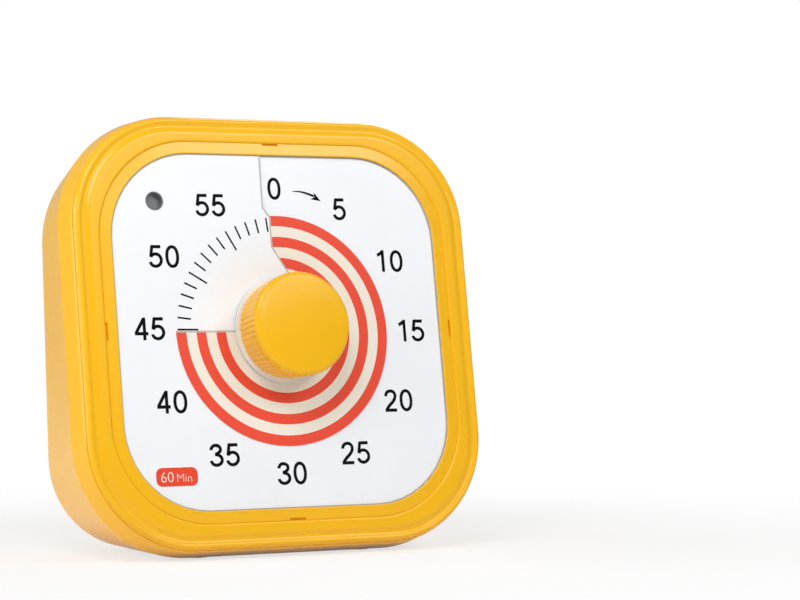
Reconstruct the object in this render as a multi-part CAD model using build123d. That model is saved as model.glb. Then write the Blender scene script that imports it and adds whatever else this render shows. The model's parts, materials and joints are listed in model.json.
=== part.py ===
from build123d import *
import math
import os

# Visual countdown timer: a square, round-cornered desk timer whose dial leans back on a
# tapered underside, while its back stands upright. A knob turns a striped ring disc, which
# winds out through a slit in the printed dial and shows the minutes left.
#
# Every piece is drawn in the dial's frame: X to the right, Y up the dial, Z out of the dial,
# with the knob's axis at the origin. What the back carries is drawn in the back's own frame,
# with Z = 0 on its outer face and Z towards the dial. "Half" means half the width of a
# rounded square. The last step leans everything back and puts the origin under the middle.
# Lengths are millimetres and angles degrees.

# ---- case
lean = 9.6  # of the dial, also the draft that gives it and the dial's angle to the back
corner_centre = 43.0  # centres of the outer corner roundings, from both centre lines
opening_centre = 37.0  # the same for the opening, the ring, the dial and the tray
wall = 2.4  # moulded wall of both shells
case_half = 88.8  # at the seam, the widest place
frame_width = 16.8  # from the dial's opening to the widest place
case_depth = 58.7  # from the dial to the back, along the knob's axis
seam_depth = 13.0  # from the dial to the seam of the two shells
back_round = 7.0  # rounding of the rear shell's back edge
shoulder_radius = 10.0  # rounding between the face and the side
shoulder_depth = 5.0  # from the dial to the middle of that rounding
shoulder_inset = 1.0  # from the widest place to the shoulder's side
shoulder_start = 38.0  # where the shoulder leaves the face, in degrees from the side
rim_height = 1.2  # flat rim round the ring, above the dial
rim_width = 4.1  # from the rim's inner wall to where its face falls away
rim_inner_round = 1.0
rim_outer_round = 4.0
valley_offset = 6.3  # from the rim's inner wall to the valley outside the rim
valley_height = 0.0  # bottom of the valley above the dial
valley_round = 2.0
crest_round = 1.2  # between the valley and the shoulder
groove_angle = 23.0  # fine groove on the shoulder, in degrees from the side
groove_radius = 0.4
opening_trim = 4.0  # what the opening takes off the rim, which its rounder corners need
ledge_width = 7.0  # ledge that carries the ring and the tray
ledge_thickness = 2.4
seam_tongue = 2.0  # how far the rear shell's tongue reaches past the seam
tongue_wall = 1.1
tongue_gap = 1.2  # from the front shell's wall to the tongue

# ---- general clearances
seat_gap = 0.2  # between moulded pieces that drop into each other
slide_gap = 0.3  # round a piece that slides or presses
run_gap = 0.05  # radial, in a bearing

# ---- bezel ring, dial and tray
ring_width = 4.8
ring_lip = 1.2  # how far the ring reaches over the tray's edge
ring_top = 1.2  # inner edge of the ring above the dial
ring_slope = 0.7  # how much lower its outer edge is
ring_round = 0.4
ring_gap = 0.03  # from the ring to the rim
ring_tray_depth = 3.2  # from the dial to the ledge
notch_width = 7.0  # pry notches in the middle of each side
notch_size = 0.9
sheet = 0.2  # thickness of the dial and disc sheets
turn_rise = 0.7  # climb of both sheets in one turn, which lets the disc pass the slit
sheet_gap = 0.05  # from the dial's highest and lowest edge to the ring and the tray
dial_hole = 18.5  # radius
tray_recess_radius = 49.5
tray_recess_floor = 1.5  # below the dial

# ---- slit in the dial: right of the middle line is positive
slit_top_x = -4.9
slit_kink_y = 50.4
slit_step_x = -2.1
slit_step_y = 46.3
slit_bend_y = 34.1
slit_end = (10.3, 14.1)

# ---- ring disc and its hub
disc_radius = 47.0
minutes_shown = 45
disc_edge = 6 * minutes_shown  # clockwise from the top
hub_radius = 16.0
hub_key_width = 3.0
hub_key_height = 1.4
hub_keys = 3

# ---- knob and collar
collar_radius = 21.6
collar_thickness = 0.8
collar_lift = 1.45  # underside of the collar above the dial
sleeve_radius = 9.0
sleeve_bore = 7.4
sleeve_foot = 1.1  # how far the sleeve reaches below the dial
knob_radius = 21.3  # at the crown, its widest place
knob_foot_radius = 20.1  # over the ribs, at the collar
knob_height = 20.6  # above the dial
knob_ribs = 58
rib_depth = 0.45
knob_crown = 5.4  # from the ribs' front ends to the middle of the face
knob_crown_round = 4.0
knob_dome = 0.8  # rise of the face from its edge to its middle
knob_wall = 2.2
knob_post_radius = 6.0
knob_web = 1.6

# ---- spindle and the parts on it
spindle_radius = 3.0
spindle_top = 14.0
spindle_flat = 2.2  # from the axis to the flat of the D
spindle_flat_length = 10.0
spindle_pivot_radius = 2.0
clutch_collar_radius = 5.0
clutch_collar_thickness = 1.2
cam_radius = 6.0
cam_thickness = 1.0
cam_notch = 1.4
clutch_spring_radius = 6.8
clutch_spring_thickness = 0.4

# ---- clock movement
gasket_thickness = 0.5
gasket_radius = 9.0
movement_centre = (4.5, -7.0)
movement_size = (48.0, 55.0)
movement_corner = 4.0
movement_wall = 1.5
movement_depth = 16.5
movement_split = 7.3  # from the movement's front face to its own seam
bush_radius = 4.2
bush_flange_radius = 6.0
bush_flange = 0.8
bush_top = 0.9  # above the dial
nut_width = 10.0
nut_height = 2.0
washer_radius = 6.5
washer_thickness = 0.3
gear_module = 0.75
pinion_teeth = 8
output_teeth = 40
third_teeth = 32
second_teeth = 24
wheel_thickness = 1.1
wheel_pitch = 2.5  # from one wheel's front face to the next one's
first_wheel_depth = 4.3  # from the movement's front face to the output wheel
rotor_angle = 70.0  # direction from the second wheel to the rotor
arbor_radius = 0.9
pivot_radius = 0.5
pivot_length = 1.2
rotor_radius = 3.5
rotor_length = 2.4
stator_thickness = 1.0
stator_gap = 0.7
coil_radius = 3.4
coil_length = 20.0
coil_height = 13.0  # above the spindle
board_thickness = 1.6

# ---- alert lamp
lamp_centre = (-52.5, 52.4)
lamp_hole = 3.85  # radius
lamp_recess = 2.4  # from the dial to the lens
lens_flange = 6.0
lens_flange_thickness = 1.2
led_radius = 2.5
led_length = 5.4
lamp_board_size = (22.0, 12.0)
lamp_post_radius = 2.2

# ---- top button
button_length = 52.0
button_width = 11.0
button_proud = 1.8
button_depth = 16.0  # from the seam back to the button's middle
button_travel = 1.5
button_flange = 2.0
button_flange_thickness = 1.4
button_stem = 6.0
button_round = 1.2
shelf_drop = 11.0  # from the outer skin down to the button board
shelf_thickness = 2.0
guide_radius = 1.5
guide_offset = 19.0
tact_size = 6.0
tact_height = 3.5
plunger_radius = 1.75

# ---- volume switch
switch_centre = (46.0, 34.0)
switch_travel = 3.0  # each way from the middle
slider_size = (5.0, 3.6)
slider_proud = 1.0
slider_shank = (3.0, 2.0)
switch_body = (15.0, 6.0, 5.0)
switch_recess = (16.0, 6.0, 1.0)
main_board_size = (40.0, 34.0)

# ---- speaker
speaker_centre = (-4.0, 32.0)
speaker_radius = 14.0
speaker_height = 6.0
speaker_collar = 1.6
grille_slots = 7
grille_pitch = 3.4
grille_slot = 1.6

# ---- battery bay
cell_radius = 7.1
cell_length = 50.5
cell_nub = 1.5
cell_nub_radius = 2.7
cell_gap = 1.0
bay_centre_y = -36.0
bay_length = 58.0
bay_wall = 1.6
door_thickness = 2.0
door_margin = 3.6  # how far the door reaches past the bay
door_lip = 0.8  # thickness of the case lip that the door's hooks slip under
door_hook = (9.0, 2.4, 0.85)
contact_thickness = 0.4
spring_wire = 0.45
spring_radius = 3.2
spring_turns = 4

# ---- fasteners and feet
case_screw_offset = 64.0
case_boss_radius = 4.4
case_boss_floor = 2.5
screw_head_radius = 2.6
screw_head_height = 1.8
screw_radius = 1.3
screw_length = 11.0
board_post_radius = 3.0
board_screw_radius = 1.0
board_screw_head = 1.9
foot_radius = 5.0
foot_recess = 0.9
foot_proud = 0.5
foot_offset = 36.0
foot_depths = (8.0, 46.0)  # from the seam back to each pair of feet


# ---- worked out from the sizes above
draft = math.tan(math.radians(lean))
block_length = case_depth - seam_depth + case_half * draft + 1
dial_opening = case_half - frame_width  # half
ring_outer = dial_opening + ring_width
rim_inner = ring_outer + ring_gap
shoulder_half = case_half - shoulder_inset
shoulder_centre = shoulder_half - shoulder_radius
tray_half = dial_opening + ring_lip - seat_gap
dial_half = tray_half - seat_gap
sheet_reach = turn_rise / 2 + sheet / 2  # how far the dial reaches above and below Z = 0
lip_z = sheet_reach + sheet_gap
ledge_z = -ring_tray_depth
movement_z = ledge_z - gasket_thickness
movement_inner_z = movement_z - movement_wall
movement_back_z = movement_z - movement_depth
movement_floor_z = movement_back_z + movement_wall
split_z = movement_z - movement_split
nut_z = -tray_recess_floor + washer_thickness
board_level = wall + switch_body[2] + seat_gap  # rear face of the main board
bay_height = 4 * cell_radius + cell_gap + 2 * seat_gap
bay_level = door_thickness + 2 * cell_radius + 2 * seat_gap


# Frame of the back, which leans forward from the dial's plane and so stands upright.
back_inward = Vector(0, -math.sin(math.radians(lean)), math.cos(math.radians(lean)))
back_frame = Location(Plane(origin=(0, 0, -case_depth), x_dir=(1, 0, 0), z_dir=back_inward))


def case_side(depth):
    """Half size of the rear shell's outside at a depth behind the seam."""
    return case_half - depth * draft


def rounded_square(half, z, centre=corner_centre):
    return Pos(0, 0, z) * RectangleRounded(2 * half, 2 * half, half - centre)


def slab(half, low, high, centre=corner_centre):
    """Rounded-square plate between two heights."""
    return extrude(rounded_square(half, low, centre), amount=high - low, dir=(0, 0, 1))


def box(width, height, low, high, centre=(0, 0)):
    depth = high - low
    return Pos(centre[0], centre[1], (low + high) / 2) * Box(width, height, depth)


def rod(radius, low, high, centre=(0, 0)):
    return Pos(centre[0], centre[1], (low + high) / 2) * Cylinder(radius, high - low)


def tube(outer, inner, low, high, centre=(0, 0)):
    return rod(outer, low, high, centre) - rod(inner, low - 1, high + 1, centre)


def round_corner(outline, point, radius):
    """Round the corner of a flat outline that lies nearest to a point of the XZ plane."""
    spot = Vector(point[0], 0, point[1])
    corner = outline.vertices().sort_by_distance(spot)[0]
    return fillet(corner, radius)


def carry_round(section, centre=corner_centre):
    """Carry a half-size and height section round the rounded square."""
    start = Pos(0, -centre, 0) * section
    side = extrude(start, amount=2 * centre, dir=(0, 1, 0))
    axis = Axis((centre, centre, 0), (0, 0, 1))
    corner = revolve(Pos(0, centre, 0) * section, axis, 90)
    quarter = side + corner
    whole = quarter
    for turn in (90, 180, 270):
        whole = whole + Rot(0, 0, turn) * quarter
    return whole


def on_four_corners(piece):
    """Copies of a piece at the four screw places."""
    spots = [(x, y) for x in (-1, 1) for y in (-1, 1)]
    return [Pos(case_screw_offset * x, case_screw_offset * y, 0) * piece for x, y in spots]


def clock_point(radius, angle):
    """Point at a clockwise angle from the top."""
    turn = math.radians(angle)
    return (radius * math.sin(turn), radius * math.cos(turn))


def mesh_point(centre, distance, angle):
    """Point at a distance and an anticlockwise angle from +X."""
    turn = math.radians(angle)
    return (centre[0] + distance * math.cos(turn), centre[1] + distance * math.sin(turn))


# ---------------------------------------------------------------- shells
def shoulder_point(radius, angle):
    """Point of the shoulder's section at an angle from the side."""
    turn = math.radians(angle)
    return (
        shoulder_centre + radius * math.cos(turn),
        -shoulder_depth + radius * math.sin(turn),
    )


def skin_section():
    """Section of the front shell's body: rim, valley, shoulder and side."""
    rim_edge = rim_inner + rim_width
    valley = (rim_inner + valley_offset, valley_height)
    crest = shoulder_point(shoulder_radius, shoulder_start)
    shoulder_end = shoulder_point(shoulder_radius, 0)
    under = rim_height - 1.5 * wall
    foot = ledge_z - ledge_thickness
    inner = rim_inner - opening_trim
    front = Polyline((inner, rim_height), (rim_edge, rim_height), valley, crest)
    middle = shoulder_point(shoulder_radius, shoulder_start / 2)
    shoulder = ThreePointArc(crest, middle, shoulder_end)
    inside = Polyline(
        shoulder_end,
        (case_half, -seam_depth),
        (case_half - wall, -seam_depth),
        (shoulder_half - wall, -shoulder_depth),
        (shoulder_half - wall, under),
        (rim_inner + wall, under),
        (rim_inner + wall, foot),
        (inner, foot),
        (inner, rim_height),
    )
    section = Plane.XZ * make_face([front, shoulder, inside])
    section = round_corner(section, (rim_edge, rim_height), rim_outer_round)
    section = round_corner(section, valley, valley_round)
    section = round_corner(section, crest, crest_round)
    return round_corner(section, (shoulder_half - wall, under), wall)


def rim_rounding():
    """Section of what is cut away to round the rim's inner edge."""
    low = rim_height - rim_inner_round
    wide = rim_inner + rim_inner_round
    bulge = rim_inner_round * math.sin(math.radians(45))
    outside = Polyline(
        (rim_inner, low),
        (rim_inner - 1, low),
        (rim_inner - 1, rim_height + 1),
        (wide, rim_height + 1),
        (wide, rim_height),
    )
    arc = ThreePointArc((wide, rim_height), (wide - bulge, low + bulge), (rim_inner, low))
    return Plane.XZ * make_face([outside, arc])


def make_front_shell():
    """Rim and shoulder carried round the case, the ledge inside and four screw bosses."""
    shell = carry_round(skin_section())
    ledge = slab(rim_inner + wall / 2, ledge_z - ledge_thickness, ledge_z, opening_centre)
    ledge_inner = rim_inner - ledge_width
    shell = shell + ledge - slab(rim_inner, ledge_z, 2 * rim_height, opening_centre)
    shell = shell - slab(ledge_inner, -seam_depth, ledge_z, opening_centre)
    shell = shell - carry_round(rim_rounding(), opening_centre)
    groove = Plane.XZ * Pos(*shoulder_point(shoulder_radius, groove_angle)) * Circle(groove_radius)
    shell = shell - carry_round(groove)
    boss_end = -seam_depth - case_boss_floor
    boss = rod(case_boss_radius, boss_end, ledge_z - ledge_thickness / 2)
    pilot = rod(screw_radius + run_gap, boss_end - 1, boss_end + screw_length)
    shell = shell + on_four_corners(boss)
    return shell - on_four_corners(pilot)


def make_bezel_ring():
    """Snap-in ring over the dial's edge, sloping down to the rim, with pry notches."""
    leg = dial_opening + ring_lip
    outline = [
        (dial_opening, lip_z),
        (dial_opening, ring_top),
        (ring_outer, ring_top - ring_slope),
        (ring_outer, ledge_z),
        (leg, ledge_z),
        (leg, lip_z),
    ]
    section = Plane.XZ * make_face(Polyline(*outline, close=True))
    section = round_corner(section, outline[1], ring_round)
    ring = carry_round(section, opening_centre)
    top = ring_top - ring_slope
    notch = Pos(ring_outer, 0, top) * Box(2 * notch_size, notch_width, 2 * notch_size)
    return ring - [Rot(0, 0, turn) * notch for turn in (0, 90, 180, 270)]


def drafted_block(inset, round_size):
    """Tapered body behind the seam, cut off by the back, with both set in by a wall."""
    start = rounded_square(case_half - inset, -seam_depth)
    block = extrude(start, amount=block_length, dir=(0, 0, -1), taper=lean)
    reach = 2 * case_half
    block = block - back_frame * box(2 * reach, 2 * reach, -reach, inset)
    back_face = block.faces().sort_by(Axis((0, 0, 0), back_inward))[0]
    return fillet(back_face.edges(), round_size)


def on_back(pieces):
    """Place a list of pieces that are drawn in the back's frame."""
    return [back_frame * piece for piece in pieces]


def make_rear_shell():
    """Drafted shell with the battery bay, bosses, button shelf, grille and switch slot."""
    outer = drafted_block(0, back_round)
    shell = outer - drafted_block(wall, back_round - wall)
    shell = shell + seam_tongue_ring()

    boss_end = -seam_depth - case_boss_floor - seat_gap
    boss = rod(case_boss_radius, -2 * case_depth, boss_end)
    shell = shell + [post & outer for post in on_four_corners(boss)]
    well = rod(screw_head_radius + seat_gap, -2 * case_depth, boss_end - case_boss_floor)
    hole = rod(screw_radius + seat_gap, -2 * case_depth, boss_end + 1)
    shell = shell - on_four_corners(well) - on_four_corners(hole)

    centre = (0, bay_centre_y)
    bay_outer = (bay_length + 2 * bay_wall, bay_height + 2 * bay_wall)
    shell = shell + back_frame * box(*bay_outer, wall / 2, bay_level + bay_wall, centre)
    shell = shell - back_frame * box(bay_length, bay_height, -1, bay_level, centre)
    shell = shell - on_back(door_recess())

    shell = shell + shelf(outer) - top_wall_slot() - shelf_holes()
    shell = shell + back_frame * speaker_seat() - on_back(speaker_grille())
    shell = shell - on_back(switch_slot()) + on_back(board_posts())
    return shell - foot_recesses()


def seam_tongue_ring():
    """Tongue on the rear shell that locates inside the front shell."""
    outer = case_half - wall - tongue_gap
    tongue = slab(outer, -seam_depth - wall, -seam_depth + seam_tongue)
    tongue = tongue - slab(outer - tongue_wall, -seam_depth - 2 * wall, 0)
    web = slab(case_half - wall / 2, -seam_depth - wall, -seam_depth - wall / 2)
    web = web - slab(outer - tongue_wall, -seam_depth - 2 * wall, 0)
    return tongue + web


def door_size():
    return (bay_length + 2 * door_margin, bay_height + 2 * door_margin)


def door_recess():
    """Opening for the door plate, and the pockets behind the lip for its hooks."""
    width, height = door_size()
    recess = [box(width, height, -1, door_thickness, (0, bay_centre_y))]
    hook_width, hook_reach, hook_thickness = door_hook
    foot = bay_centre_y - height / 2
    long = hook_reach + slide_gap + 1
    top = 2 * door_lip + hook_thickness + 2 * slide_gap + wall
    for x in door_hook_places():
        place = (x, foot + 1 - long / 2)
        recess.append(box(hook_width + 2 * slide_gap, long, door_lip, top, place))
    return recess


def door_hook_places():
    return (-bay_length / 3, bay_length / 3)


def top_frame(lift=0.0):
    """Frame on the top wall's outer skin at the button, with Z along its normal."""
    tilt = math.radians(lean)
    outward = Vector(0, math.cos(tilt), -math.sin(tilt))
    spot = Vector(0, case_side(button_depth), -seam_depth - button_depth)
    return Location(Plane(origin=spot + outward * lift, x_dir=(1, 0, 0), z_dir=outward))


def top_wall_slot():
    room = (button_length + 2 * slide_gap, button_width + 2 * slide_gap)
    return top_frame() * box(*room, -2 * wall, wall)


def shelf(outer):
    """Shelf under the button, run back into the rear wall."""
    length = case_depth - seam_depth
    reach = 2 * length
    width = 2 * guide_offset + 4 * guide_radius + 4
    front = -button_width / 2 - button_flange
    low = -shelf_drop - shelf_thickness
    plate = box(width, reach, low, -shelf_drop, (0, front + reach / 2))
    return (top_frame() * plate) & outer


def shelf_holes():
    low = -shelf_drop - 2 * shelf_thickness
    hole = rod(guide_radius + slide_gap, low, -shelf_drop + 1)
    return [top_frame() * Pos(x, 0, 0) * hole for x in (-guide_offset, guide_offset)]


def speaker_seat():
    bore = speaker_radius + seat_gap
    return tube(bore + speaker_collar, bore, wall / 2, wall + speaker_height, speaker_centre)


def speaker_grille():
    """Upright slots, shorter towards the sides of a round field."""
    field = speaker_radius - 2 * grille_slot
    slots = []
    for number in range(grille_slots):
        x = (number - (grille_slots - 1) / 2) * grille_pitch
        length = 2 * math.sqrt(field**2 - x**2)
        slot = extrude(SlotOverall(length, grille_slot, rotation=90), amount=3 * wall)
        slots.append(Pos(speaker_centre[0] + x, speaker_centre[1], -wall) * slot)
    return slots


def switch_slot():
    """Shallow recess and through slot for the volume slider."""
    width, height, depth = switch_recess
    recess = box(width, height, -1, depth, switch_centre)
    long = slider_shank[0] + 2 * (switch_travel + slide_gap)
    tall = slider_shank[1] + 2 * slide_gap
    return [recess, box(long, tall, 0, wall + 1, switch_centre)]


def board_post_places():
    x = main_board_size[0] / 2 - 4
    y = main_board_size[1] / 2 - 4
    return [(switch_centre[0] + side * x, switch_centre[1] + side * y) for side in (-1, 1)]


def board_posts():
    bore = board_screw_radius + run_gap
    places = board_post_places()
    return [tube(board_post_radius, bore, wall / 2, board_level, spot) for spot in places]


def foot_frames():
    """Frames on the underside's skin, with Z pointing out of the case."""
    tilt = math.radians(lean)
    outward = (0, -math.cos(tilt), -math.sin(tilt))
    frames = []
    for depth in foot_depths:
        for x in (-foot_offset, foot_offset):
            spot = (x, -case_side(depth), -seam_depth - depth)
            frames.append(Location(Plane(origin=spot, x_dir=(1, 0, 0), z_dir=outward)))
    return frames


def foot_recesses():
    recess = rod(foot_radius + seat_gap, -foot_recess, 1)
    return [frame * recess for frame in foot_frames()]


def make_rubber_feet():
    foot = rod(foot_radius, -foot_recess, foot_proud)
    return [frame * foot for frame in foot_frames()]


def make_case_screws():
    """Pan-head screws at the bottom of the rear wells."""
    seat = -seam_depth - 2 * case_boss_floor - seat_gap
    head = rod(screw_head_radius, seat - screw_head_height, seat)
    drive = Pos(0, 0, seat - screw_head_height) * (Box(3.2, 0.7, 1.4) + Box(0.7, 3.2, 1.4))
    shank = rod(screw_radius, seat, seat + screw_length)
    return on_four_corners(head + shank - drive)


# ---------------------------------------------------------------- dial, disc and tray
def wound_sheet(inner, outer, start, turn, low):
    """Flat-looking sheet that climbs turn_rise in every clockwise turn.

    It starts at a clockwise angle from the top, where its underside is at height low.
    """
    rise = turn_rise * turn / 360
    edges = [Edge.make_helix(turn_rise, rise, radius, lefthand=True) for radius in (inner, outer)]
    skin = Face.make_surface_from_curves(*edges)
    solid = Solid.extrude(skin, Vector(0, 0, sheet))
    return Pos(0, 0, low) * Rot(0, 0, 90 - start) * solid


def slit_cutter(side):
    """Block on one side of the slit, from above the dial to the knob's hole."""
    far = 3 * dial_half
    points = [
        (slit_top_x, far),
        (slit_top_x, slit_kink_y),
        (slit_step_x, slit_step_y),
        (slit_step_x, slit_bend_y),
        slit_end,
        (side * far, 0),
        (side * far, far),
    ]
    outline = make_face(Polyline(*points, close=True))
    return extrude(outline, amount=4 * turn_rise, both=True)


def make_dial_sheet():
    """Printed sheet, slit from its top edge to the middle and wound by one thin turn."""
    reach = 2 * dial_half
    spare = 40.0
    middle = -sheet / 2
    inner = dial_hole / 2
    right_low = middle - turn_rise / 2 - turn_rise * spare / 360
    right = wound_sheet(inner, reach, -spare, 180 + spare, right_low)
    right = right - slit_cutter(-1)
    left = wound_sheet(inner, reach, 180, 180 + spare, middle)
    left = left - slit_cutter(1)
    outline = slab(dial_half, -2 * turn_rise, 2 * turn_rise, opening_centre)
    hole = rod(dial_hole, -3 * turn_rise, 3 * turn_rise)
    lamp = rod(lamp_hole, -3 * turn_rise, 3 * turn_rise, lamp_centre)
    return (right + left) & outline - hole - lamp


def make_ring_disc():
    """One turn of sheet, cut along a radius, with its lower end still behind the dial."""
    low = -sheet / 2 + turn_rise * (disc_edge - 360) / 360
    return wound_sheet(hub_radius, disc_radius, disc_edge - 360, 360, low)


def hub_level():
    """Middle height of the disc at the minutes shown."""
    return turn_rise * (disc_edge - 180) / 360


def key_bars(low, high, gap):
    """Keys on the collar's sleeve, or the slots for them when the gap is positive."""
    reach = sleeve_radius + hub_key_height + gap
    bars = rod(sleeve_bore, low, high)
    for number in range(hub_keys):
        bar = box(reach, hub_key_width + 2 * gap, low, high, (reach / 2, 0))
        bars = bars + Rot(0, 0, number * 360 / hub_keys) * bar
    return bars


def make_disc_hub():
    """Ring that carries the disc and slides on the collar's keyed sleeve."""
    half = turn_rise / 2 + sheet / 2
    level = hub_level()
    hub = tube(hub_radius - run_gap, sleeve_radius + run_gap, level - half, level + half)
    return hub - key_bars(level - 2 * half, level + 2 * half, seat_gap)


def make_dial_tray():
    """Backing plate with the disc's recess, the movement's hole and the lamp's hole."""
    tray = slab(tray_half, ledge_z, -lip_z, opening_centre)
    tray = tray - rod(tray_recess_radius, -tray_recess_floor, 0)
    tray = tray - rod(bush_radius + seat_gap, ledge_z - 1, 0)
    tray = tray - rod(lamp_hole + seat_gap, ledge_z - 1, 0, lamp_centre)
    root = ledge_z + wall / 4
    for spot in lamp_post_places():
        tray = tray + rod(lamp_post_radius, lamp_board_z(), root, spot)
    return tray


# ---------------------------------------------------------------- knob and spindle
def ribbed_outline(radius, height):
    """Outline of rounded ribs that meet in sharp valleys."""
    step = 360 / knob_ribs
    arcs = []
    for number in range(knob_ribs):
        start = clock_point(radius - rib_depth, number * step)
        crest = clock_point(radius, (number + 0.5) * step)
        end = clock_point(radius - rib_depth, (number + 1) * step)
        arcs.append(ThreePointArc(start, crest, end))
    return Pos(0, 0, height) * make_face(arcs)


def make_knob():
    """Hollow knob with a ribbed side that flares to a rounded crown and a domed face."""
    foot = collar_lift + collar_thickness
    rib_top = knob_height - knob_crown
    ball = (knob_radius**2 + knob_dome**2) / (2 * knob_dome)
    dome = Pos(0, 0, knob_height - ball) * Rot(90, 0, 0) * Sphere(ball)
    crown = rod(knob_radius, rib_top, knob_height + 1) & dome
    crown = fillet(crown.edges().group_by(Axis.Z)[-1], knob_crown_round)
    ends = [ribbed_outline(knob_foot_radius, foot), ribbed_outline(knob_radius, rib_top)]
    edge = knob_height - knob_dome
    bore = knob_foot_radius - rib_depth - knob_wall
    cavity = rod(bore, foot - 1, edge - knob_wall)
    web_length = 2 * bore + knob_wall
    webs = box(web_length, knob_web, foot, edge - 1) + box(knob_web, web_length, foot, edge - 1)
    knob = (crown + loft(ends, ruled=True)) - cavity
    knob = knob + webs + rod(knob_post_radius, foot, edge - 1)
    return knob - spindle_body(run_gap / 2)


def spindle_body(gap):
    """D-ended part of the spindle, grown by a gap to make its hole."""
    radius = spindle_radius + gap
    top = spindle_top + gap
    body = rod(radius, 0, top)
    flat_start = spindle_top - spindle_flat_length
    place = Pos(spindle_flat + gap + radius, 0, flat_start + radius * 4)
    return body - place * Box(2 * radius, 4 * radius, 8 * radius)


def make_knob_collar():
    """Pale disc under the knob, with the keyed sleeve that drives the hub."""
    top = collar_lift + collar_thickness
    flange = rod(collar_radius, collar_lift, top)
    sleeve = rod(sleeve_radius, -sleeve_foot, top)
    keys = key_bars(-sleeve_foot, top, 0)
    return flange + sleeve + keys - rod(sleeve_bore, -sleeve_foot - 1, top + 1)


def make_spindle():
    """Shaft that carries the knob in front and the alarm cam behind."""
    pivot_end = movement_floor_z - movement_wall / 2
    shaft = rod(spindle_radius, movement_floor_z + movement_wall, 0.5) + spindle_body(0)
    return shaft + rod(spindle_pivot_radius, pivot_end, 0)


def wheel_front(number):
    """Height of the front face of the wheel with this number, counted from 0."""
    return movement_z - first_wheel_depth - number * wheel_pitch


def make_clutch_spring():
    """Dished washer that presses the output wheel against the clutch collar."""
    wheel = wheel_front(0)
    seat = movement_inner_z - bush_flange - seat_gap
    outline = [
        (clutch_spring_radius, wheel),
        (spindle_radius + seat_gap, seat - clutch_spring_thickness),
        (spindle_radius + seat_gap, seat),
        (clutch_spring_radius, wheel + clutch_spring_thickness),
    ]
    section = Plane.XZ * make_face(Polyline(*outline, close=True))
    return revolve(section, Axis.Z, 360)


def make_clutch_collar():
    top = wheel_front(0) - wheel_thickness
    return tube(clutch_collar_radius, spindle_radius, top - clutch_collar_thickness, top)


def make_alarm_cam():
    """Disc with one notch, which lets the alarm contact drop at zero."""
    top = wheel_front(2) + wheel_thickness
    cam = tube(cam_radius, spindle_radius, top - cam_thickness, top)
    return cam - Pos(0, cam_radius, top) * Box(2 * cam_notch, 2 * cam_notch, 4 * cam_thickness)


# ---------------------------------------------------------------- movement
def gear(teeth, thickness, top, centre, phase):
    """Spur wheel with straight flanks. Its first tooth points at the phase angle."""
    pitch = gear_module * teeth / 2
    tip = pitch + 0.85 * gear_module
    root = pitch - 1.1 * gear_module
    step = 360 / teeth
    points = []
    for number in range(teeth):
        for radius, share in ((root, -0.28), (tip, -0.11), (tip, 0.11), (root, 0.28)):
            points.append(mesh_point((0, 0), radius, phase + (number + share) * step))
    blank = extrude(make_face(Polyline(*points, close=True)), amount=thickness)
    return Pos(centre[0], centre[1], top - thickness) * blank


def mesh_distance(teeth):
    return gear_module * (teeth + pinion_teeth) / 2


third_centre = mesh_point((0, 0), mesh_distance(output_teeth), -90)
second_centre = mesh_point(third_centre, mesh_distance(third_teeth), 0)
rotor_centre = mesh_point(second_centre, mesh_distance(second_teeth), rotor_angle)
half_tooth = 180 / pinion_teeth


def make_output_wheel():
    """One turn an hour: runs free on the spindle and drives it through the clutch."""
    top = wheel_front(0)
    wheel = gear(output_teeth, wheel_thickness, top, (0, 0), -90)
    return wheel - rod(spindle_radius + run_gap, top - 2 * wheel_thickness, top + 1)


def pinion(number, centre, towards):
    """Pinion in mesh with the wheel of this number, which lies at an angle from it."""
    top = wheel_front(number) + seat_gap
    length = wheel_thickness + 2 * seat_gap
    return gear(pinion_teeth, length, top, centre, towards + half_tooth)


def arbor(centre):
    """Arbor with a thinner pivot at each end."""
    high = movement_inner_z - seat_gap
    low = movement_floor_z + seat_gap
    body = rod(arbor_radius, low, high, centre)
    return body + rod(pivot_radius, low - pivot_length, high + pivot_length, centre)


def make_third_wheel():
    wheel = gear(third_teeth, wheel_thickness, wheel_front(1), third_centre, 0)
    return wheel + pinion(0, third_centre, 90) + arbor(third_centre)


def make_second_wheel():
    wheel = gear(second_teeth, wheel_thickness, wheel_front(2), second_centre, rotor_angle)
    return wheel + pinion(1, second_centre, 180) + arbor(second_centre)


def rotor_top():
    return wheel_front(2) - wheel_thickness - stator_gap


def make_rotor():
    magnet = rod(rotor_radius, rotor_top() - rotor_length, rotor_top(), rotor_centre)
    return magnet + pinion(2, rotor_centre, rotor_angle + 180) + arbor(rotor_centre)


def movement_block(inset, low, high):
    """Rounded block of the movement's plan, set in by a wall."""
    width = movement_size[0] - 2 * inset
    height = movement_size[1] - 2 * inset
    plan = RectangleRounded(width, height, movement_corner - inset)
    return extrude(Pos(*movement_centre, low) * plan, amount=high - low, dir=(0, 0, 1))


def pivot_holes():
    holes = []
    for centre in (third_centre, second_centre, rotor_centre):
        holes.append(rod(pivot_radius + run_gap, movement_back_z + 0.2, movement_z - 0.2, centre))
    return holes


def make_movement_front():
    case = movement_block(0, split_z, movement_z)
    case = case - movement_block(movement_wall, split_z - 1, movement_inner_z)
    case = case - rod(bush_radius + run_gap, movement_inner_z - 1, movement_z + 1)
    return case - pivot_holes()


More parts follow.
